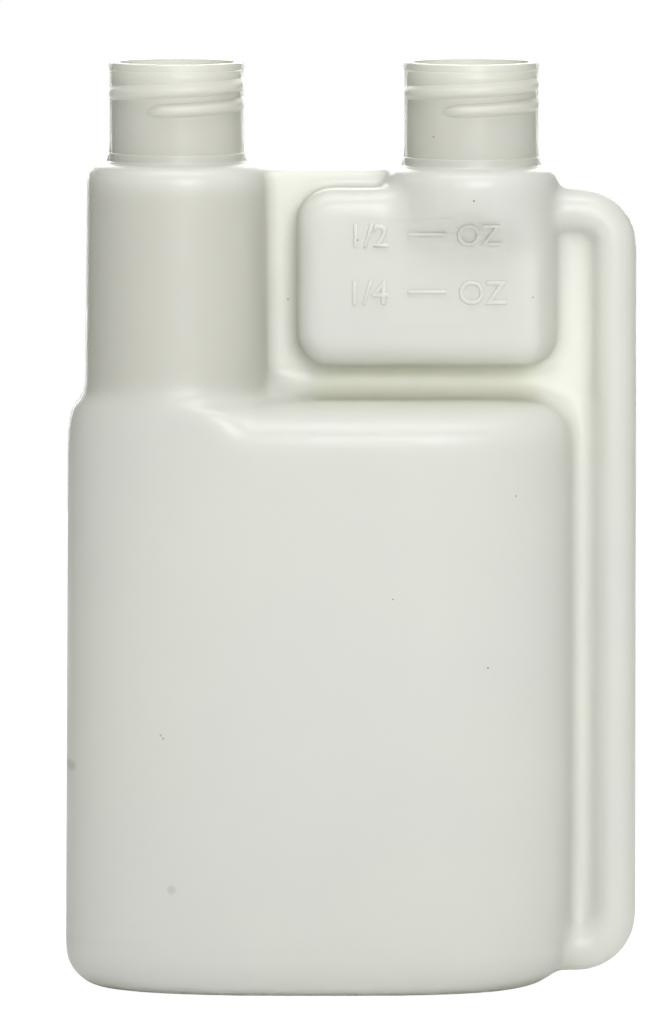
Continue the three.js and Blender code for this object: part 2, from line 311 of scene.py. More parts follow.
# %% Filling column
def filler_column(inset):
    top = NECK_FOOT - inset
    radius = FILLER_RADIUS - inset
    top_radius = radius - FILLER_DRAFT
    bottom = BODY_HEIGHT - SHOULDER_DROP
    bm = bmesh.new()
    outline = [(0.0, bottom), (radius, bottom), (radius, BODY_HEIGHT + FOOT_RISE)]
    outline += arc(top_radius - FILLER_ROUNDING, top - FILLER_ROUNDING, FILLER_ROUNDING, 0, 90)
    spin_outline(bm, outline + [(0.0, top)], FILLER_X)
    return to_object(bm, "filling_column")


def filler_flare(inset, reach):
    """The column's flared foot, reaching out by a given width, within the reservoir's outline."""
    bottom = BODY_HEIGHT - SHOULDER_DROP
    radius = FILLER_RADIUS - inset
    flare = []
    for turn in (math.pi / 2 * k / 10 for k in range(10)):
        out = FOOT_STEP + reach * math.cos(turn)
        flare.append((radius + out, BODY_HEIGHT - inset - FOOT_SINK * (1 - math.sin(turn))))
    for share in (k / 6 for k in range(7)):
        out = FOOT_STEP * (1 - share) ** 2
        flare.append((radius + out, BODY_HEIGHT - inset + FOOT_RISE * share))
    outline = [(0.0, bottom), (flare[0][0], bottom), *flare, (0.0, flare[-1][1])]
    bm = bmesh.new()
    spin_outline(bm, outline, FILLER_X)
    foot = to_object(bm, "flare")
    trim = bmesh.new()
    heights = [(bottom - 1, NOT_DRAWN_IN), (BODY_HEIGHT + FOOT_RISE + 1, NOT_DRAWN_IN)]
    extrude_rings(trim, lambda turn, at: reservoir_point(turn, *at, inset), heights, 160)
    return combine(foot, to_object(trim, "trim"), "INTERSECT")


def shoulder_ledge(inset):
    """A wider flare on the right-hand half, which carries the shoulder in front of the column."""
    wide = filler_flare(inset, SHOULDER_LEDGE)
    right_half = cuboid((FILLER_X - 2, -25, 80), (FILLER_X + 30, 25, 110))
    return combine(wide, right_half, "INTERSECT")


# %% [markdown]
# ## The dosing column and the measuring chamber
# The chamber measures the dose. It is a box with rounded edges: first its corners are bevelled as
# seen from the front, then the rims of its two panels. The column beside it is spun, and two
# slanted cutters take its front and back down to the same panels, which leaves the arch under the
# neck.


# %% Chamber
def chamber_box(inset):
    width = CHAMBER_RIGHT - CHAMBER_LEFT
    size = Vector((width, 2 * CHAMBER_HALF_DEPTH, CHAMBER_TOP - CHAMBER_BOTTOM))
    size -= Vector((2 * inset, 2 * inset, 2 * inset))
    middle_x = (CHAMBER_LEFT + CHAMBER_RIGHT) / 2
    bm = block(size, Vector((middle_x, 0.0, (CHAMBER_TOP + CHAMBER_BOTTOM) / 2)))
    bevel(bm, [e for e in bm.edges if along_y(e) > 1], CHAMBER_CORNER - inset, 10)
    bevel(bm, [e for e in bm.edges if along_y(e) < 0.01], CHAMBER_EDGE - inset / 2)
    return to_object(bm, "chamber")


# %% Dosing column
def panel_cutter(side, inset):
    """A closed block in front of, or behind, the panel. Its top leans out as the panel does."""
    panel = CHAMBER_HALF_DEPTH - inset
    reach = 12.0
    middle = (DOSER_X, side * (panel + reach / 2), PANEL_TOP - 10)
    bm = block((4 * DOSER_RADIUS, reach, 40.0), middle)
    lean = Vector((0.0, -side * PANEL_LEAN, DOSER_RADIUS + 1 - panel))
    cut = bmesh.ops.bisect_plane(
        bm,
        geom=bm.verts[:] + bm.edges[:] + bm.faces[:],
        plane_co=(DOSER_X, side * panel, PANEL_TOP),
        plane_no=lean,
        clear_outer=True,
    )
    rim = [item for item in cut["geom_cut"] if isinstance(item, bmesh.types.BMEdge)]
    bmesh.ops.contextual_create(bm, geom=rim)
    return to_object(bm, "panel_cutter")


def heel_cutter(inset):
    """What the rounded lower edges of the two panels leave over, front and rear."""
    bottom = CHAMBER_BOTTOM + inset
    panel = CHAMBER_HALF_DEPTH - inset
    rounding = CHAMBER_EDGE - inset / 2
    slab = block((50.0, 2 * panel, 20.0), (DOSER_X, 0.0, bottom + 10))
    low = [e for e in slab.edges if all(abs(v.co.z - bottom) < 0.01 for v in e.verts)]
    bevel(slab, [e for e in low if along_y(e) < 0.01], rounding)
    top = bottom + rounding
    around = cuboid((DOSER_X - 20, -20, bottom - 2), (DOSER_X + 20, 20, top), "around")
    return combine(around, to_object(slab, "slab"), "DIFFERENCE")


def doser_column(inset):
    bottom = CHAMBER_BOTTOM + inset
    top = DOSER_NECK_FOOT - inset
    radius = DOSER_RADIUS - inset
    outline = [(0.0, bottom)]
    outline += arc(radius - CHAMBER_HEEL, bottom + CHAMBER_HEEL, CHAMBER_HEEL, -90, 0)
    outline += arc(radius - DOSER_ROUNDING, top - DOSER_ROUNDING, DOSER_ROUNDING, 0, 90)
    bm = bmesh.new()
    spin_outline(bm, outline + [(0.0, top)], DOSER_X)
    column = to_object(bm, "dosing_column")
    for side in (-1, 1):
        combine(column, panel_cutter(side, inset), "DIFFERENCE")
    return combine(column, heel_cutter(inset), "DIFFERENCE")


# %% [markdown]
# ## The transfer tube
# Squeezing the bottle drives liquid up this tube into the chamber. An oval ring is extruded out
# of the chamber, spun through a right angle, extruded down, spun again and extruded into the foot
# of the reservoir. Spinning the elbows keeps the bore oval in the bends, where a bent box would
# flatten.


# %% Transfer tube
def only_verts(geom):
    return [item for item in geom if isinstance(item, bmesh.types.BMVert)]


def ring_edges(ring):
    near = {edge for vert in ring for edge in vert.link_edges}
    return [edge for edge in near if edge.verts[0] in ring and edge.verts[1] in ring]


def run_on(bm, ring, offset):
    """Extrude a ring of points straight on, and return the new ring."""
    made = bmesh.ops.extrude_edge_only(bm, edges=ring_edges(ring))["geom"]
    verts = only_verts(made)
    bmesh.ops.translate(bm, vec=offset, verts=verts)
    return verts


def elbow(bm, ring, centre_x, centre_z):
    """Spin a ring of points through a right angle, and return the last ring."""
    turned = bmesh.ops.spin(
        bm,
        geom=list(ring) + ring_edges(ring),
        cent=(centre_x, 0.0, centre_z),
        axis=(0.0, 1.0, 0.0),
        angle=math.pi / 2,
        steps=12,
        use_duplicate=False,
    )
    return only_verts(turned["geom_last"])


def transfer_tube(inset):
    start_x = DOSER_X + DOSER_RADIUS - CHAMBER_EDGE
    corner = TUBE_X - TUBE_BEND
    bm = bmesh.new()
    ring = bmesh.ops.create_circle(bm, cap_ends=True, segments=36, radius=1.0)["verts"]
    oval = Matrix.Diagonal((TUBE_HALF_WIDTH - inset, TUBE_HALF_DEPTH - inset, 1.0, 1.0))
    stand = Matrix.Rotation(math.pi / 2, 4, "Y")
    place = Matrix.Translation((start_x, 0.0, TUBE_TOP))
    bmesh.ops.transform(bm, matrix=place @ stand @ oval, verts=ring)
    ring = run_on(bm, ring, (corner - start_x, 0.0, 0.0))
    ring = elbow(bm, ring, corner, TUBE_TOP - TUBE_BEND)
    ring = run_on(bm, ring, (0.0, 0.0, TUBE_BOTTOM - TUBE_TOP + 2 * TUBE_BEND))
    ring = elbow(bm, ring, corner, TUBE_BOTTOM + TUBE_BEND)
    ring = run_on(bm, ring, (BODY_RIGHT - HEEL_IN[1] - corner, 0.0, 0.0))
    bmesh.ops.contextual_create(bm, geom=ring_edges(ring))
    return to_object(bm, "transfer_tube")


# %% [markdown]
# ## The web
# Where the mould pinches its two walls together they weld into one thin plate in the parting
# plane. Three plates overlap here: from column to column, from the dosing column to the tube, and
# down beside the tube.


# %% Web
def plate(x0, x1, z0, z1):
    middle = ((x0 + x1) / 2, 0.0, (z0 + z1) / 2)
    return to_object(block((x1 - x0, WEB_THICKNESS, z1 - z0), middle), "web")


# %% [markdown]
# ## One skin
# The forms are put into one mesh, and a voxel remesh melts them into a single closed skin.
# Smoothing it then rounds every inside and outside corner a little, as blown plastic does by
# itself. Creases where the photo shows wide hollows are smoothed more. Smaller voxels would
# follow the forms more closely, but these keep the whole bottle under 200,000 triangles.


# %% Melt the forms together
OUTER_VOXEL = 0.9
INNER_VOXEL = 1.6


def melt(name, loose, voxel, smoothing=3):
    bm = bmesh.new()
    for form in loose:
        bm.from_mesh(form.data)
    drop(*loose)
    skin = to_object(bm, name)
    step = skin.modifiers.new("remesh", "REMESH")
    step.mode = "VOXEL"
    step.voxel_size = voxel
    soft = skin.modifiers.new("soften", "SMOOTH")
    soft.factor = 0.5
    soft.iterations = smoothing
    return settle(skin)


def soften(skin, inside, times):
    """Smooth the points for which inside(position) holds."""
    bm = bmesh.new()
    bm.from_mesh(skin.data)
    verts = [vert for vert in bm.verts if inside(vert.co)]
    for _ in range(times):
        bmesh.ops.smooth_vert(
            bm, verts=verts, factor=0.5, use_axis_x=True, use_axis_y=True, use_axis_z=True
        )
    bm.to_mesh(skin.data)
    bm.free()
    print("softened", len(verts), "points", times, "times")


def at_column_foot(co):
    return abs(co.x - FILLER_X) < FILLER_RADIUS + 6 and BODY_HEIGHT - 8 < co.z < BODY_HEIGHT + 6


def at_arch(co):
    beside = abs(co.x - DOSER_X) < DOSER_RADIUS + 1 and abs(co.y) > 6
    return beside and PANEL_TOP - 4 < co.z < PANEL_TOP + 9


def at_web_foot(co):
    along = FILLER_X + FILLER_RADIUS < co.x < BODY_RIGHT
    return along and abs(co.y) < 5 and abs(co.z - BODY_HEIGHT) < 3.5


def beside_tube(co):
    return BODY_RIGHT - 2 < co.x < TUBE_X - 1.5 and abs(co.y) < 6 and 6 < co.z < BODY_HEIGHT


# %% [markdown]
# ## The corner of the web
# The web doesn't meet the filling column in a sharp corner: the two walls part early and leave a
# round, thicker one. It is a small block with a cylinder taken out, which gives a true quarter
# round.


# %% Web corner
UPRIGHT = Matrix.Rotation(math.pi / 2, 4, "X")


def web_corner(size=4.6, half_depth=3.2):
    x = FILLER_X + FILLER_RADIUS
    low = (x - 2, -half_depth, BODY_HEIGHT - 2)
    corner = cuboid(low, (x + size, half_depth, BODY_HEIGHT + size), "web_corner")
    round_cut = bmesh.new()
    place = Matrix.Translation((x + size, 0.0, BODY_HEIGHT + size)) @ UPRIGHT
    bmesh.ops.create_cone(
        round_cut, cap_ends=True, segments=64, radius1=size, radius2=size, depth=20, matrix=place
    )
    return combine(corner, to_object(round_cut, "round_cut"), "DIFFERENCE")


# %% [markdown]
# ## Outer skin and hollow
# The same forms are drawn twice: at full size with the webs for the outside, and one wall smaller
# without them for the hollow. The web is solid, so the hollow must not know of it.


# %% Outer skin and hollow
def forms(inset):
    return [
        reservoir(inset),
        filler_column(inset),
        filler_flare(inset, FOOT_FLARE),
        shoulder_ledge(inset),
        doser_column(inset),
        chamber_box(inset),
        transfer_tube(inset),
    ]


webs = [
    plate(FILLER_X, DOSER_X, BODY_HEIGHT - SHOULDER_DROP, WEB_TOP),
    plate(DOSER_X, TUBE_X, BODY_HEIGHT - SHOULDER_DROP, TUBE_TOP),
    plate(BODY_RIGHT - SHOULDER_IN[1], TUBE_X, TUBE_BOTTOM, TUBE_TOP),
]
bottle = melt("bottle_moulding", forms(0.0) + webs + [web_corner()], OUTER_VOXEL)
soften(bottle, at_column_foot, 6)
soften(bottle, at_arch, 22)
soften(bottle, at_web_foot, 22)
soften(bottle, beside_tube, 9)
report("outer skin", bottle)

hollow = melt("hollow", forms(WALL), INNER_VOXEL)
report("hollow", hollow)

# %% [markdown]
# ## The necks
# A cap has to screw on here, so the necks are crisp where the rest is soft. Each is spun from its
# outline: a fillet, a collar, the wall and a rim that is set in a little.


# %% Neck
def neck(x, foot):
    collar = NECK_RADIUS + COLLAR_STEP
    collar_top = foot + NECK_FILLET + COLLAR_HEIGHT
    rim = NECK_RADIUS - RIM_STEP
    rim_foot = HEIGHT - RIM_HEIGHT
    outline = [(0.0, foot - 1.5), (collar + NECK_FILLET, foot - 1.5)]
    outline += arc(collar + NECK_FILLET, foot + NECK_FILLET, NECK_FILLET, 270, 180, 5)
    outline += arc(collar - RIM_STEP, collar_top - RIM_STEP, RIM_STEP, 0, 90, 4)
    rows = 14
    wall_height = rim_foot - 0.1 - collar_top
    outline += [(NECK_RADIUS, collar_top + wall_height * k / rows) for k in range(rows + 1)]
    outline += [(NECK_RADIUS - 0.08, rim_foot), (rim + 0.05, rim_foot + 0.1)]
    outline += arc(rim - RIM_STEP, HEIGHT - RIM_STEP, RIM_STEP, 0, 90, 5)
    bm = bmesh.new()
    spin_outline(bm, outline + [(0.0, HEIGHT)], x, steps=160)
    return to_object(bm, "neck")


# %% [markdown]
# ## The threads
# The thread's section is spun round the neck's axis while it climbs, which a spin does when it is
# given a step along the axis. Afterwards the crest is drawn in at both ends, and again where the
# two halves of the mould meet, because the mould could not let go of a full thread there.


# %% Thread
THREAD_SPAN = 2 * math.pi * THREAD_TURNS
THREAD_CLIMB = THREAD_PITCH * THREAD_TURNS
THREAD_ROOT = NECK_RADIUS - (NECK_RADIUS - BORE_RADIUS) / 2
THREAD_CREST = NECK_RADIUS + THREAD_HEIGHT
THREAD_SECTION = (
    (THREAD_ROOT, -1.3), (NECK_RADIUS, -1.15), (NECK_RADIUS + 0.3, -0.92),
    (THREAD_CREST - 0.3, -0.68), (THREAD_CREST - 0.06, -0.4), (THREAD_CREST, 0.0),
    (THREAD_CREST - 0.12, 0.36), (THREAD_CREST - 0.4, 0.66), (NECK_RADIUS + 0.22, 0.98),
    (NECK_RADIUS, 1.2), (THREAD_ROOT, 1.35),
)


def thread_height(turn):
    """The height of the thread's middle after a turn round the neck."""
    low = HEIGHT - THREAD_BELOW_RIM + THREAD_PITCH * (THREAD_START - 2 * math.pi) / (2 * math.pi)
    return low + THREAD_CLIMB * (turn - THREAD_START) / THREAD_SPAN


def shape_thread(vert, x):
    """Draw a point of the full thread in towards the neck, at the ends and at the parting plane."""
    out = Vector((vert.co.x - x, vert.co.y))
    turn = math.atan2(out.y, out.x)
    laps = [turn + 2 * math.pi * lap for lap in range(4)]
    turned = min(laps, key=lambda t: abs(thread_height(t) - vert.co.z))
    along = turned - THREAD_START
    end = max(min(along, THREAD_SPAN - along, THREAD_FADE) / THREAD_FADE, 0.0)
    fade = math.sin(math.pi / 2 * end)
    from_parting = abs((turn + math.pi / 2) % math.pi - math.pi / 2)
    relief = 1 - THREAD_RELIEF * max(1 - from_parting / THREAD_RELIEF_SPAN, 0.0)
    proud = max(out.length - THREAD_ROOT, 0.0)
    sunk = NECK_RADIUS - THREAD_ROOT
    scale = fade * relief if proud > sunk else 1.0
    in_wall = min(proud, sunk) * (0.6 + 0.4 * fade)
    out.length = THREAD_ROOT + in_wall + max(proud - sunk, 0.0) * scale
    middle = thread_height(turned)
    vert.co = (x + out.x, out.y, middle + (vert.co.z - middle) * (0.5 + 0.5 * fade))


def thread(x, steps=150):
    low = thread_height(THREAD_START)
    bm = bmesh.new()
    verts = [bm.verts.new((x + radius, 0.0, low + z)) for radius, z in THREAD_SECTION]
    profile = bm.faces.new(verts)
    start = Matrix.Rotation(THREAD_START, 4, "Z")
    start = Matrix.Translation((x, 0, 0)) @ start @ Matrix.Translation((-x, 0, 0))
    bmesh.ops.transform(bm, matrix=start, verts=verts)
    bmesh.ops.spin(
        bm,
        geom=[profile],
        cent=(x, 0.0, 0.0),
        axis=(0.0, 0.0, 1.0),
        dvec=(0.0, 0.0, THREAD_CLIMB / steps),
        angle=THREAD_SPAN,
        steps=steps,
        use_duplicate=False,
    )
    for vert in bm.verts:
        shape_thread(vert, x)
    return to_object(bm, "thread")


for x, foot in NECKS:
    screw = combine(neck(x, foot), thread(x), "UNION")
    report("neck", screw)
    combine(bottle, screw, "UNION")

# %% [markdown]
# ## Raised lines
# The two halves of a mould leave a fine line in the parting plane, and the base and the
# graduations are inserts with a faint outline of their own. Marks are cut into the mould, so they
# stand proud of the bottle. Most have to follow a surface that bends or leans, so a copy of the
# skin is pushed out a little, and the parts of it that lie inside a slab, a frame or a letter are
# joined to the bottle.


# %% Raised lines
def raise_from(skin, tools, height):
    """What lies inside the tools of a copy of the skin, pushed out by a height."""
    made = []
    for tool in tools:
        copy = bpy.data.objects.new("pushed_out", skin.data.copy())
        bpy.context.collection.objects.link(copy)
        push = copy.modifiers.new("push_out", "DISPLACE")
        push.strength = height
        push.mid_level = 0.0
        settle(copy)
        made.append(combine(tool, copy, "INTERSECT"))
    return made


def rounded_frame(x0, x1, z0, z1, width, corner):
    """A rounded rectangular frame, seen from the front, that reaches deep into the front panel."""
    rims = []
    for inset in (0.0, width):
        size = (x1 - x0 - 2 * inset, 16.0, z1 - z0 - 2 * inset)
        bm = block(size, ((x0 + x1) / 2, -12.0, (z0 + z1) / 2))
        bevel(bm, [e for e in bm.edges if along_y(e) > 1], corner - inset)
        rims.append(to_object(bm, "frame"))
    return combine(rims[0], rims[1], "DIFFERENCE")


# %% [markdown]
# ## Letters and graduations
# The dose is read off two graduations. The letters come from Blender's own font. On the flat
# panel they are finished letters with sloped edges, set with their backs in the wall, because a
# bevel makes the narrow highlights of the photo. On the leaning part above, deep prisms are cut
# from the copy.


# %% Letters
PANEL_FACE = -CHAMBER_HALF_DEPTH - 0.36
CAP_SHARE = 0.729
LETTER_BEVEL = 0.2
DEEP_LETTER_Y = -12.0


def word(text, x, z, cap_height, flat=False):
    """Letters that face the front. x is their left edge, z the middle of their height."""
    curve = bpy.data.curves.new("mark", "FONT")
    curve.body = text
    curve.size = cap_height / CAP_SHARE
    curve.extrude = 1.5 if flat else 8.0
    curve.bevel_depth = LETTER_BEVEL if flat else 0.0
    curve.bevel_resolution = 1
    curve.offset = -0.08 if flat else 0.0
    curve.resolution_u = 6
    lettering = bpy.data.objects.new("mark", curve)
    bpy.context.collection.objects.link(lettering)
    graph = bpy.context.evaluated_depsgraph_get()
    mesh = bpy.data.meshes.new_from_object(lettering.evaluated_get(graph))
    bpy.data.objects.remove(lettering)
    bm = bmesh.new()
    bm.from_mesh(mesh)
    bmesh.ops.remove_doubles(bm, verts=bm.verts, dist=1e-3)
    start = min(vert.co.x for vert in bm.verts)
    depth = PANEL_FACE + curve.extrude + curve.bevel_depth if flat else DEEP_LETTER_Y
    place = Matrix.Translation((x - start, depth, z - cap_height / 2))
    bmesh.ops.transform(bm, matrix=place @ UPRIGHT, verts=bm.verts)
    return to_object(bm, "mark")


def dash(x0, x1, z, half=0.3):
    """A line on the flat panel, with its front edges bevelled."""
    depth = 1.5
    middle = ((x0 + x1) / 2, PANEL_FACE + depth / 2, z)
    bm = block((x1 - x0, depth, 2 * half), middle)
    rims = [e for e in bm.edges if all(abs(v.co.y - PANEL_FACE) < 0.01 for v in e.verts)]
    bevel(bm, rims, 0.22, 2)
    return to_object(bm, "mark")


# %% Graduations
HALF_Z = 123.6
QUARTER_Z = 114.2
DASH_X = (9.2, 15.5)
MARK_RELIEF = 0.5
FRAME_RELIEF = 0.05

leaning = [
    cuboid((DASH_X[0], -20, HALF_Z - 0.22), (DASH_X[1], -4, HALF_Z + 0.22), "mark"),
    word("OZ", 17.3, HALF_Z, 3.6),
]
raised = raise_from(bottle, leaning, MARK_RELIEF)
raised += [
    word("1/2", 0.4, HALF_Z - 0.2, 3.8, flat=True),
    word("1/4", 0.2, QUARTER_Z, 3.9, flat=True),
    dash(*DASH_X, QUARTER_Z),
    word("OZ", 17.5, QUARTER_Z, 3.9, flat=True),
]
raised += raise_from(bottle, [rounded_frame(-0.9, 26.2, 108.5, 126.3, 0.2, 2.6)], FRAME_RELIEF)

# %% [markdown]
# ## Base line and parting line
# The ring just above the heel is where the base insert meets the two halves, and the upright
# lines on the outermost edges are where the halves meet each other. Both are thin slabs through
# the skin.

# %% Base line and parting line
LINE_RELIEF = 0.06
LINE_HALF_WIDTH = 0.14

base_line = cuboid((LEFT - 1, -30, 8.1), (BODY_RIGHT - 0.5, 30, 8.35), "base_line")
raised += raise_from(bottle, [base_line], LINE_RELIEF)
tube_low = (TUBE_X + 1.5, -LINE_HALF_WIDTH, TUBE_BOTTOM + TUBE_BEND)
tube_high = (60, LINE_HALF_WIDTH, TUBE_TOP - TUBE_BEND)
parting = [
    cuboid((-60, -LINE_HALF_WIDTH, -5), (-30, LINE_HALF_WIDTH, NECK_FOOT - 3), "parting_line"),
    cuboid(tube_low, tube_high, "parting_line"),
]
raised += raise_from(bottle, parting, LINE_RELIEF)
print("raised pieces", len(raised), "faces", sum(len(piece.data.polygons) for piece in raised))

# %% [markdown]
# ## Flash beside the necks
# Where plastic is squeezed out between the halves of the mould it leaves a fin, which is trimmed
# but never quite goes. Its outline is one face, drawn in the parting plane and extruded to its
# thickness.


# %% Flash beside the necks
FLASH_THICKNESS = 0.4


def flash(x, foot, side):
    """A thin fin: a gusset at the neck's foot, then a strip up to the rim."""
    out = [(-1.4, foot - 0.6), (0.75, foot - 0.2), (0.4, foot + 0.8), (0.2, foot + 2.0)]
    out += [(0.1, foot + 3.4), (0.1, HEIGHT - 1.5), (0.3, HEIGHT - 0.6), (0.12, HEIGHT - 0.15)]
    out += [(-0.7, HEIGHT - 0.4)]
    bm = bmesh.new()
    front = -FLASH_THICKNESS / 2
    verts = [bm.verts.new((x + side * (NECK_RADIUS + reach), front, z)) for reach, z in out]
    face = bm.faces.new(verts)
    fin = bmesh.ops.extrude_face_region(bm, geom=[face])["geom"]
    bmesh.ops.translate(bm, vec=(0.0, FLASH_THICKNESS, 0.0), verts=only_verts(fin))
    return to_object(bm, "flash")


raised += [flash(x, foot, side) for x, foot in NECKS for side in (-1, 1)]

# %% [markdown]
# ## Pinch-off scar
# The mould closes the bottom of the soft plastic tube by nipping it, which leaves a straight seam
# under the base. It lies inside the push-up, so that the bottle still stands on its rim.

# %% Pinch-off scar
scar_low = (-28.0, -0.5, PUSH_UP - 0.55)
raised.append(cuboid(scar_low, (20.0, 0.5, PUSH_UP + 0.5), "pinch_off"))

# %% [markdown]
# ## Joining the lines to the bottle
# Every raised piece goes some way into the wall, so a Boolean union leaves one closed skin.

# %% Join them to the bottle
for piece in raised:
    combine(bottle, piece, "UNION")
report("bottle with its lines", bottle)

# %% [markdown]
# ## Cutting the hollow
# A blown bottle is a skin round air. The bores are spun too, so that the mouths are true circles,
# and the soft hollow and the two bores are taken out of the skin. What is left is a wall of even
# thickness, as light needs it to pass through.


# %% Hollow
def bore(x, foot):
    bm = bmesh.new()
    bottom = foot - WALL - 1
    outline = [(0.0, bottom), (BORE_RADIUS, bottom), (BORE_RADIUS, HEIGHT + 1), (0.0, HEIGHT + 1)]
    spin_outline(bm, outline, x, steps=160)
    return to_object(bm, "bore")


for x, foot in NECKS:
    combine(hollow, bore(x, foot), "UNION")
combine(bottle, hollow, "DIFFERENCE")
report("bottle", bottle)

# %% [markdown]
# ## Metres and smooth shading
# The frame is in metres. Smooth shading hides the facets, and edges sharper than 40 degrees, such
# as the rims and the marks, stay crisp.

# %% Bring the moulding to metres
bottle.data.transform(Matrix.Scale(MM, 4))
bottle.data.shade_smooth()
bottle.data.set_sharp_from_angle(angle=math.radians(40))
print("height, metres:", round(max(vert.co.z for vert in bottle.data.vertices), 4))

# %% [markdown]
# ## The plastic
# Undyed polyethylene is milky. Part of the light scatters back from the surface, and part goes
# through the thin wall and comes out a little yellower, so a share of a translucent shader is
# mixed in. The surface is satin: fine grain from the mould, faint upright die lines from the soft
# tube it was blown from, waves where the wall is uneven, and a few specks and smudges from
# handling. These helpers make one node, or a small group of them, each.


# %% Node helpers
def node(tree, kind, **values):
    made = tree.nodes.new(kind)
    for key, value in values.items():
        setattr(made, key, value)
    return made


def maths(tree, operation, first, second=None, clamp=False):
    made = node(tree, "ShaderNodeMath", operation=operation, use_clamp=clamp)
    for socket, value in zip(made.inputs, (first, second)):
        if isinstance(value, bpy.types.NodeSocket):
            tree.links.new(value, socket)
        elif value is not None:
            socket.default_value = value
    return made.outputs[0]


def noise(tree, coords, scale, detail=2.0, stretch=None):
    if stretch is not None:
        squeeze = node(tree, "ShaderNodeMapping")
        squeeze.inputs["Scale"].default_value = stretch
        tree.links.new(coords, squeeze.inputs["Vector"])
        coords = squeeze.outputs["Vector"]
    made = node(tree, "ShaderNodeTexNoise")
    made.inputs["Scale"].default_value = scale
    made.inputs["Detail"].default_value = detail
    tree.links.new(coords, made.inputs["Vector"])
    return made.outputs["Fac"]


def ramp(tree, value, low, high, out_low=0.0, out_high=1.0):
    made = node(tree, "ShaderNodeMapRange", interpolation_type="SMOOTHSTEP")
    made.inputs["From Min"].default_value = low
    made.inputs["From Max"].default_value = high
    made.inputs["To Min"].default_value = out_low
    made.inputs["To Max"].default_value = out_high
    tree.links.new(value, made.inputs["Value"])
    return made.outputs["Result"]


def tint(tree, mask, under, over):
    """Mix two colours, or sockets that carry colours, by a mask."""
    made = node(tree, "ShaderNodeMix", data_type="RGBA")
    tree.links.new(mask, made.inputs["Factor"])
    for socket, value in ((made.inputs[6], under), (made.inputs[7], over)):
        if isinstance(value, bpy.types.NodeSocket):
            tree.links.new(value, socket)
        else:
            socket.default_value = value
    return made.outputs[2]


# %% [markdown]
# ## Specks and smudges
# A used bottle carries a few specks where a finger or a shelf has been. Each is placed on
# the front, as a distance from a point in the object's own coordinates, so it stays where it is
# in every view.

# %% Masks
# x and z of each mark, its radius and its strength.
SMUDGES = (
    (-29.1, 17.5, 0.75, 0.2), (-45.6, 36.6, 0.9, 0.25), (-30.8, 42.6, 0.2, 0.5),
    (-30.4, 42.1, 0.2, 0.5), (-10.2, 112.4, 0.2, 0.5), (19.9, 129.2, 0.17, 0.9),
    (13.4, 139.3, 0.15, 0.8), (1.1, 122.6, 0.16, 0.7), (29.5, 113.3, 0.15, 0.7),
    (22.2, 53.6, 0.16, 0.9), (26.7, 81.4, 0.14, 0.8), (6.8, 65.0, 0.14, 0.8),
)
print("marks on the front", len(SMUDGES))


def smudges(tree, x, z):
    flat = node(tree, "ShaderNodeCombineXYZ")
    tree.links.new(x, flat.inputs["X"])
    tree.links.new(z, flat.inputs["Z"])
    total = None
    for place_x, place_z, radius, strength in SMUDGES:
        away = node(tree, "ShaderNodeVectorMath", operation="DISTANCE")
        away.inputs[1].default_value = (place_x * MM, 0.0, place_z * MM)
        tree.links.new(flat.outputs["Vector"], away.inputs[0])
        inner, outer = radius * MM * 0.5, radius * MM * 1.3
        spot = ramp(tree, away.outputs["Value"], inner, outer, strength, 0.0)
        total = spot if total is None else maths(tree, "MAXIMUM", total, spot)
    return total


def band(tree, value, low, high, soft):
    """One between two values, fading out over a soft margin."""
    rise = ramp(tree, value, (low - soft) * MM, low * MM)
    fall = ramp(tree, value, high * MM, (high + soft) * MM, 1.0, 0.0)
    return maths(tree, "MULTIPLY", rise, fall)


# %% [markdown]
# ## Colour, relief and shader
# The colour starts milky with faint clouds. The filling column and the necks are painted darker,
# a painted shade for the dim look of light seen through their walls, and just under the chamber
# the web is painted brighter and yellower, a painted light for light shining through it. Dirt
# goes on last. The relief adds waves, die lines and grain into one bump, and the waves also make
# the satin a little uneven.

# %% Plastic
MILK = (0.72, 0.728, 0.718, 1)
MILK_CLOUD = (0.735, 0.736, 0.705, 1)
# Painted shade: the filling column and the necks are painted this darker colour.
PAINTED_SHADE_COLUMN_NECKS = (0.625, 0.622, 0.585, 1)
# Painted light: the web under the chamber is painted this brighter, yellower colour.
PAINTED_LIGHT_UNDER_CHAMBER = (0.76, 0.765, 0.68, 1)
DIRT = (0.20, 0.19, 0.15, 1)
THROUGH = (0.75, 0.757, 0.685, 1)
TRANSLUCENT_SHARE = 0.5
POLYETHYLENE_IOR = 1.53


def empty_tree(owner):
    owner.use_nodes = True
    owner.node_tree.nodes.clear()
    return owner.node_tree


def colour(tree, coords, x, z, dirt):
    cloud = ramp(tree, noise(tree, coords, 26.0, 3.0), 0.35, 0.65)
    milk = tint(tree, cloud, MILK, MILK_CLOUD)
    above_body = ramp(tree, z, 0.094, 0.101)
    below_top = ramp(tree, z, 0.129, 0.133, 1.0, 0.0)
    left_column = maths(tree, "MULTIPLY", below_top, ramp(tree, x, -0.015, -0.011, 1.0, 0.0))
    column = maths(tree, "MULTIPLY", above_body, left_column)
    # thin is the mask of the painted shade on the filling column and the necks, which stands in for
    # the dimmer look of light seen through their walls.
    thin = maths(tree, "MAXIMUM", column, ramp(tree, z, 0.1335, 0.1355, 0.0, 0.95))
    milk = tint(tree, thin, milk, PAINTED_SHADE_COLUMN_NECKS)
    # Painted light: a band under the chamber is painted brighter and yellower, for light shining
    # through the web.
    across = band(tree, x, -4.0, 29.0, 3.0)
    painted_light_under_chamber = maths(tree, "MULTIPLY", band(tree, z, 96.5, 101.5, 1.5), across)
    milk = tint(tree, painted_light_under_chamber, milk, PAINTED_LIGHT_UNDER_CHAMBER)
    return tint(tree, dirt, milk, DIRT)


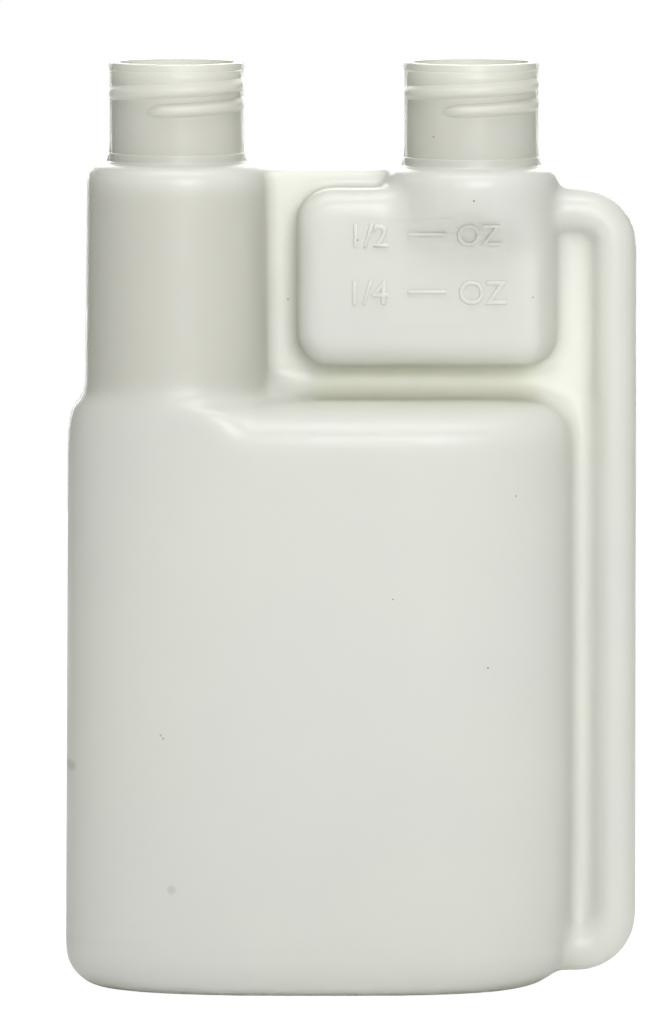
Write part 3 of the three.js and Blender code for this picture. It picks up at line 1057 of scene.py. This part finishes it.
def all_dirt(tree, coords, x, y, z):
    front = ramp(tree, y, -0.0005, 0.0, 1.0, 0.0)
    placed = maths(tree, "MULTIPLY", smudges(tree, x, z), front)
    cells = node(tree, "ShaderNodeTexVoronoi")
    cells.inputs["Scale"].default_value = 150.0
    tree.links.new(coords, cells.inputs["Vector"])
    fleck = ramp(tree, cells.outputs["Distance"], 0.012, 0.022, 1.0, 0.0)
    rare = ramp(tree, noise(tree, coords, 60.0, 0.0), 0.66, 0.68)
    flecks = maths(tree, "MULTIPLY", maths(tree, "MULTIPLY", fleck, rare), 0.6)
    return maths(tree, "MAXIMUM", placed, flecks)


def bumps(tree, coords, waves):
    die_lines = noise(tree, coords, 1.0, 2.0, stretch=(700.0, 700.0, 9.0))
    grain = noise(tree, coords, 1500.0, 3.0)
    relief = maths(tree, "ADD", waves, maths(tree, "MULTIPLY", die_lines, 0.05))
    relief = maths(tree, "ADD", relief, maths(tree, "MULTIPLY", grain, 0.03))
    bump = node(tree, "ShaderNodeBump")
    bump.inputs["Strength"].default_value = 0.35
    bump.inputs["Distance"].default_value = 0.0004
    tree.links.new(relief, bump.inputs["Height"])
    return bump.outputs["Normal"]


def blend(tree, factor, first, second, output):
    """Mix two shaders by a number or a socket, and send the mix to the output."""
    mix = node(tree, "ShaderNodeMixShader")
    if isinstance(factor, bpy.types.NodeSocket):
        tree.links.new(factor, mix.inputs["Fac"])
    else:
        mix.inputs["Fac"].default_value = factor
    tree.links.new(first, mix.inputs[1])
    tree.links.new(second, mix.inputs[2])
    tree.links.new(mix.outputs["Shader"], output.inputs["Surface"])


def polyethylene():
    material = bpy.data.materials.new("natural_polyethylene")
    tree = empty_tree(material)
    coords = node(tree, "ShaderNodeTexCoord").outputs["Object"]
    place = node(tree, "ShaderNodeSeparateXYZ")
    tree.links.new(coords, place.inputs["Vector"])
    x, y, z = (place.outputs[axis] for axis in "XYZ")

    dirt = all_dirt(tree, coords, x, y, z)
    waves = noise(tree, coords, 55.0, 2.0)
    plastic = node(tree, "ShaderNodeBsdfPrincipled")
    plastic.inputs["IOR"].default_value = POLYETHYLENE_IOR
    tree.links.new(colour(tree, coords, x, z, dirt), plastic.inputs["Base Color"])
    tree.links.new(ramp(tree, waves, 0.3, 0.7, 0.3, 0.4), plastic.inputs["Roughness"])
    tree.links.new(bumps(tree, coords, waves), plastic.inputs["Normal"])
    through = node(tree, "ShaderNodeBsdfTranslucent")
    tree.links.new(tint(tree, dirt, THROUGH, DIRT), through.inputs["Color"])
    out = node(tree, "ShaderNodeOutputMaterial")
    blend(tree, TRANSLUCENT_SHARE, plastic.outputs["BSDF"], through.outputs["BSDF"], out)
    print("plastic, shader nodes:", len(tree.nodes))
    return material


# %% [markdown]
# ## Into the frame
# The moulding takes the place of the measured bottle, rides on the one body that there is, and
# names the material slot that a user can exchange.

# %% Into the frame
bottle.data.materials.clear()
bottle.data.materials.append(polyethylene())
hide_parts("bottle")
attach(bottle, "root")

# %% [markdown]
# ## Floor
# The photo has a white ground. The floor is a matt plane, of which the camera sees mostly a white
# glow. What is left of the matt share keeps a soft shadow.


# %% Floor
FLOOR_GLOW_SHARE = 0.92
FLOOR_GLOW = 1.07


def white_floor():
    bm = bmesh.new()
    bmesh.ops.create_grid(bm, x_segments=1, y_segments=1, size=6.0)
    floor = to_object(bm, "floor")
    material = bpy.data.materials.new("white_floor")
    tree = empty_tree(material)
    path = node(tree, "ShaderNodeLightPath")
    share = maths(tree, "MULTIPLY", path.outputs["Is Camera Ray"], FLOOR_GLOW_SHARE)
    matt = node(tree, "ShaderNodeBsdfDiffuse")
    matt.inputs["Color"].default_value = (0.85, 0.85, 0.85, 1)
    glow = node(tree, "ShaderNodeEmission")
    glow.inputs["Strength"].default_value = FLOOR_GLOW
    out = node(tree, "ShaderNodeOutputMaterial")
    blend(tree, share, matt.outputs["BSDF"], glow.outputs["Emission"], out)
    floor.data.materials.append(material)


white_floor()

# %% [markdown]
# ## World
# The camera sees pure white behind the bottle, but the bottle is lit by a dim surround. A bright
# one would fill the edges in, and the photo's silhouettes are darker than the middle.

# %% World
SURROUND = 0.22


def white_world():
    world = bpy.data.worlds.new("studio")
    bpy.context.scene.world = world
    tree = empty_tree(world)
    path = node(tree, "ShaderNodeLightPath")
    shade = node(tree, "ShaderNodeMix", data_type="FLOAT")
    shade.inputs["A"].default_value = SURROUND
    shade.inputs["B"].default_value = 1.0
    tree.links.new(path.outputs["Is Camera Ray"], shade.inputs["Factor"])
    sky = node(tree, "ShaderNodeBackground")
    tree.links.new(shade.outputs["Result"], sky.inputs["Strength"])
    out = node(tree, "ShaderNodeOutputWorld")
    tree.links.new(sky.outputs["Background"], out.inputs["Surface"])


white_world()

# %% [markdown]
# ## Lamps
# Three soft boxes, as in a product studio. The front one sets the tone of the body, the overhead
# one draws the highlights on the shoulders, and the one behind shines through the web and the
# tube.


# %% Lamps
def aim_at(piece, target):
    way = Vector(target) - piece.location
    piece.rotation_euler = way.to_track_quat("-Z", "Y").to_euler()


def lamp(name, place, target, size, power):
    light = bpy.data.lights.new(name, "AREA")
    light.shape = "RECTANGLE"
    light.size = size[0]
    light.size_y = size[1]
    light.energy = power
    made = bpy.data.objects.new(name, light)
    bpy.context.collection.objects.link(made)
    made.location = place
    made.visible_camera = False
    aim_at(made, target)
    print("lamp", name, power, "W")


CENTRE = (0.0, 0.0, 0.075)
lamp("overhead", (0.0, -0.25, 0.9), CENTRE, (0.7, 0.4), 6.0)
lamp("front", (0.2, -1.1, 0.5), CENTRE, (0.5, 0.5), 11.3)
lamp("behind", (0.0, 0.8, 0.35), CENTRE, (0.7, 0.7), 11.0)

# %% [markdown]
# ## Camera
# The photo was taken from a little above the rims, from about two metres away, straight at the
# front. The lens follows from the scale of the photo: its pixels per millimetre, times the
# distance.

# %% Camera
IMAGE_HEIGHT_PX = 1024
PX_PER_MM = 6.16
CAMERA_DISTANCE = 2.2
CAMERA_HEIGHT = 0.2656
AIM_HEIGHT = 0.0776
CAMERA_X = -0.0024

camera_data = bpy.data.cameras.new("camera")
camera_data.sensor_width = 36.0
longer_side = IMAGE_HEIGHT_PX / PX_PER_MM * MM
camera_data.lens = CAMERA_DISTANCE / longer_side * camera_data.sensor_width
camera_data.clip_end = 20.0
camera = bpy.data.objects.new("camera", camera_data)
bpy.context.collection.objects.link(camera)
camera.location = (CAMERA_X, -CAMERA_DISTANCE, CAMERA_HEIGHT)
aim_at(camera, (CAMERA_X, 0.0, AIM_HEIGHT))
bpy.context.scene.camera = camera
bpy.context.scene.view_settings.view_transform = "Standard"
print("lens", round(camera_data.lens, 1), "mm")
